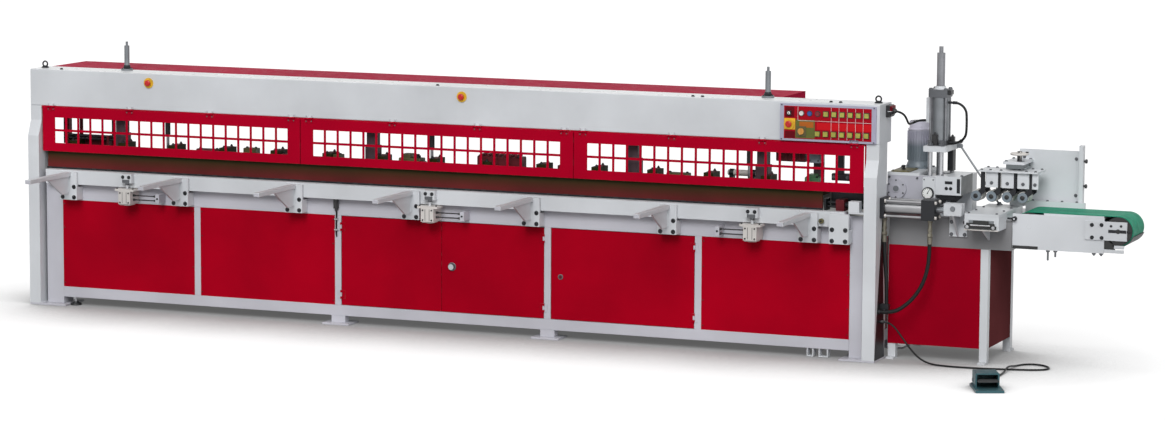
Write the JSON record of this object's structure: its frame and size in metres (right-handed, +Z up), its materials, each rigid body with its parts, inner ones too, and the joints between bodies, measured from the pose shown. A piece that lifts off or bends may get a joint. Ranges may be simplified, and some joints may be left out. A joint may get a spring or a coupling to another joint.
{
  "type": "finger joint press",
  "caption": "Long floor-standing press for finger-jointed boards with a hold-down beam, lifting front fence, hydraulic end pusher, infeed conveyor and foot switch.",
  "frame": {"origin": "middle of the footprint of the machine with its foot switch, on the floor", "axes": "+X along the machine towards the infeed conveyor, +Y from the front to the back, +Z up"},
  "size_m": [7.2962, 1.595, 1.879],
  "materials": {
    "body_white": "semi-gloss paint",
    "cover_red": "gloss paint",
    "panel_red": "satin printed sheet",
    "beam_red": "satin paint",
    "table_steel": "ground and oiled",
    "dark_steel": "black oxide",
    "bright_steel": "turned",
    "cylinder_metal": "anodised",
    "motor_grey": "satin paint",
    "black_plastic": "moulded",
    "roller_rubber": "smooth",
    "drum_black": "lagged",
    "belt_green": "smooth",
    "lamp_plastic": "clear moulded",
    "stop_red": "moulded",
    "switch_yellow": "moulded",
    "button_green": "moulded",
    "pedal_teal": "hammered paint",
    "pedal_tread": "ribbed",
    "hose_black": "smooth"
  },
  "bodies": {
    "machine": {"end_posts": "body_white", "base_frame": "body_white", "top_box": "body_white", "rear_cover": "cover_red", "hinges": "dark_steel", "fixed_panels": "cover_red", "work_table": "table_steel", "air_cylinders": "cylinder_metal", "support_arms": "body_white", "bolts_and_eyes": "dark_steel", "control_panel": "panel_red", "panel_lamps": "lamp_plastic", "stand_frame": "body_white", "infeed_table": "body_white", "feed_head": "body_white", "head_motor": "motor_grey", "clamp_cylinder": "cylinder_metal", "press_cylinder": "cylinder_metal", "conveyor_frame": "body_white", "conveyor_belt": "belt_green", "hydraulic_unit": "motor_grey", "pedal_base": "pedal_teal", "pedal_cable": "hose_black", "press_hose_left": "hose_black", "press_hose_right": "hose_black", "clamp_hose": "hose_black", "head_cable": "hose_black"},
    "window_door_1": {"window_door_1": "cover_red"},
    "window_door_2": {"window_door_2": "cover_red"},
    "window_door_3": {"window_door_3": "cover_red"},
    "cabinet_door_left": {"cabinet_door_left": "cover_red"},
    "cabinet_door_right": {"cabinet_door_right": "cover_red"},
    "cabinet_door_side": {"cabinet_door_side": "cover_red"},
    "door_knob": {"door_knob": "black_plastic"},
    "front_fence": {"front_fence": "body_white"},
    "press_beam": {"press_beam": "beam_red"},
    "press_ram": {"press_ram": "bright_steel"},
    "clamp_ram": {"clamp_ram": "bright_steel"},
    "feed_shaft": {"feed_shaft": "bright_steel"},
    "roller_bridge": {"roller_bridge": "body_white"},
    "handwheel": {"handwheel": "bright_steel"},
    "press_roller_1": {"press_roller_1": "roller_rubber"},
    "press_roller_2": {"press_roller_2": "roller_rubber"},
    "press_roller_3": {"press_roller_3": "roller_rubber"},
    "press_roller_4": {"press_roller_4": "roller_rubber"},
    "drive_drum": {"drive_drum": "drum_black"},
    "tail_drum": {"tail_drum": "drum_black"},
    "clamp_lever": {"clamp_lever": "black_plastic"},
    "estop_1": {"estop_1": "stop_red"},
    "estop_2": {"estop_2": "stop_red"},
    "estop_3": {"estop_3": "stop_red"},
    "main_switch": {"main_switch": "switch_yellow"},
    "push_button_1": {"push_button_1": "button_green"},
    "push_button_2": {"push_button_2": "button_green"},
    "push_button_3": {"push_button_3": "button_green"},
    "push_button_4": {"push_button_4": "button_green"},
    "push_button_5": {"push_button_5": "button_green"},
    "push_button_6": {"push_button_6": "button_green"},
    "push_button_7": {"push_button_7": "button_green"},
    "foot_pedal": {"foot_pedal": "pedal_tread"}
  },
  "joints": [
    {"name": "window_door_1_turn", "type": "hinge", "parent": "machine", "child": "window_door_1", "pos_m": [-2.62048, -0.01499, 1.3065], "axis": [-1, 0, 0], "range_deg": [0, 95]},
    {"name": "window_door_2_turn", "type": "hinge", "parent": "machine", "child": "window_door_2", "pos_m": [-0.74815, -0.01499, 1.3065], "axis": [-1, 0, 0], "range_deg": [0, 95]},
    {"name": "window_door_3_turn", "type": "hinge", "parent": "machine", "child": "window_door_3", "pos_m": [1.12418, -0.01499, 1.3065], "axis": [-1, 0, 0], "range_deg": [0, 95]},
    {"name": "cabinet_door_left_turn", "type": "hinge", "parent": "machine", "child": "cabinet_door_left", "pos_m": [-1.40865, 0.00951, 0.41], "axis": [0, 0, -1], "range_deg": [0, 110]},
    {"name": "cabinet_door_right_turn", "type": "hinge", "parent": "machine", "child": "cabinet_door_right", "pos_m": [-0.01565, 0.00951, 0.41], "axis": [0, 0, 1], "range_deg": [0, 110]},
    {"name": "cabinet_door_side_turn", "type": "hinge", "parent": "machine", "child": "cabinet_door_side", "pos_m": [0.97935, 0.00951, 0.41], "axis": [0, 0, 1], "range_deg": [0, 110]},
    {"name": "door_knob_turn", "type": "hinge", "parent": "cabinet_door_right", "child": "door_knob", "pos_m": [-0.64065, 0.01551, 0.414], "axis": [0, 1, 0], "range_deg": [0, 90]},
    {"name": "front_fence_slide", "type": "slide", "parent": "machine", "child": "front_fence", "axis": [0, 0, 1], "range_m": [0, 0.05]},
    {"name": "press_beam_slide", "type": "slide", "parent": "machine", "child": "press_beam", "axis": [0, 0, 1], "range_m": [0, 0.06]},
    {"name": "press_ram_slide", "type": "slide", "parent": "machine", "child": "press_ram", "axis": [1, 0, 0], "range_m": [-0.14, 0]},
    {"name": "clamp_ram_slide", "type": "slide", "parent": "machine", "child": "clamp_ram", "axis": [0, 0, 1], "range_m": [-0.08, 0]},
    {"name": "feed_shaft_turn", "type": "hinge", "parent": "machine", "child": "feed_shaft", "pos_m": [2.18285, 0.25551, 1.024], "axis": [0, 1, 0], "continuous": true},
    {"name": "roller_bridge_slide", "type": "slide", "parent": "machine", "child": "roller_bridge", "axis": [0, 0, 1], "range_m": [-0.025, 0.006]},
    {"name": "handwheel_turn", "type": "hinge", "parent": "machine", "child": "handwheel", "pos_m": [2.90785, 0.37551, 1.208], "axis": [0, 0, 1], "range_deg": [-900, 216]},
    {"name": "press_roller_1_turn", "type": "hinge", "parent": "roller_bridge", "child": "press_roller_1", "pos_m": [2.65985, 0.37551, 0.997], "axis": [0, 1, 0], "continuous": true},
    {"name": "press_roller_2_turn", "type": "hinge", "parent": "roller_bridge", "child": "press_roller_2", "pos_m": [2.75585, 0.37551, 0.997], "axis": [0, 1, 0], "continuous": true},
    {"name": "press_roller_3_turn", "type": "hinge", "parent": "roller_bridge", "child": "press_roller_3", "pos_m": [2.85185, 0.37551, 0.997], "axis": [0, 1, 0], "continuous": true},
    {"name": "press_roller_4_turn", "type": "hinge", "parent": "roller_bridge", "child": "press_roller_4", "pos_m": [2.94785, 0.37551, 0.997], "axis": [0, 1, 0], "continuous": true},
    {"name": "drive_drum_turn", "type": "hinge", "parent": "machine", "child": "drive_drum", "pos_m": [3.01985, 0.21351, 0.8417], "axis": [0, 1, 0], "continuous": true},
    {"name": "tail_drum_turn", "type": "hinge", "parent": "machine", "child": "tail_drum", "pos_m": [3.55985, 0.21351, 0.8417], "axis": [0, 1, 0], "continuous": true},
    {"name": "clamp_lever_turn", "type": "hinge", "parent": "machine", "child": "clamp_lever", "pos_m": [2.93385, 0.20551, 0.886], "axis": [0, 1, 0], "range_deg": [0, 90]},
    {"name": "estop_1_slide", "type": "slide", "parent": "machine", "child": "estop_1", "axis": [0, 1, 0], "range_m": [0, 0.004], "stiffness_N_per_m": 1200, "springref_m": -0.003},
    {"name": "estop_2_slide", "type": "slide", "parent": "machine", "child": "estop_2", "axis": [0, 1, 0], "range_m": [0, 0.004], "stiffness_N_per_m": 1200, "springref_m": -0.003},
    {"name": "estop_3_slide", "type": "slide", "parent": "machine", "child": "estop_3", "axis": [0, 1, 0], "range_m": [0, 0.004], "stiffness_N_per_m": 1200, "springref_m": -0.003},
    {"name": "main_switch_turn", "type": "hinge", "parent": "machine", "child": "main_switch", "pos_m": [1.66785, -0.02249, 1.373], "axis": [0, 1, 0], "range_deg": [0, 90]},
    {"name": "push_button_1_slide", "type": "slide", "parent": "machine", "child": "push_button_1", "axis": [0, 1, 0], "range_m": [0, 0.004], "stiffness_N_per_m": 500, "springref_m": -0.003},
    {"name": "push_button_2_slide", "type": "slide", "parent": "machine", "child": "push_button_2", "axis": [0, 1, 0], "range_m": [0, 0.004], "stiffness_N_per_m": 500, "springref_m": -0.003},
    {"name": "push_button_3_slide", "type": "slide", "parent": "machine", "child": "push_button_3", "axis": [0, 1, 0], "range_m": [0, 0.004], "stiffness_N_per_m": 500, "springref_m": -0.003},
    {"name": "push_button_4_slide", "type": "slide", "parent": "machine", "child": "push_button_4", "axis": [0, 1, 0], "range_m": [0, 0.004], "stiffness_N_per_m": 500, "springref_m": -0.003},
    {"name": "push_button_5_slide", "type": "slide", "parent": "machine", "child": "push_button_5", "axis": [0, 1, 0], "range_m": [0, 0.004], "stiffness_N_per_m": 500, "springref_m": -0.003},
    {"name": "push_button_6_slide", "type": "slide", "parent": "machine", "child": "push_button_6", "axis": [0, 1, 0], "range_m": [0, 0.004], "stiffness_N_per_m": 500, "springref_m": -0.003},
    {"name": "push_button_7_slide", "type": "slide", "parent": "machine", "child": "push_button_7", "axis": [0, 1, 0], "range_m": [0, 0.004], "stiffness_N_per_m": 500, "springref_m": -0.003},
    {"name": "foot_pedal_turn", "type": "hinge", "parent": "machine", "child": "foot_pedal", "pos_m": [2.97877, -0.55222, 0.04], "axis": [0.9135, 0.4067, 0], "range_deg": [0, 10], "stiffness_Nm_per_rad": 10, "springref_deg": -8.59}
  ],
  "couplings": [
    {"joint": "handwheel_turn", "follows": "roller_bridge_slide", "rad_per_m": 628.32},
    {"joint": "tail_drum_turn", "follows": "drive_drum_turn", "ratio": 1}
  ]
}
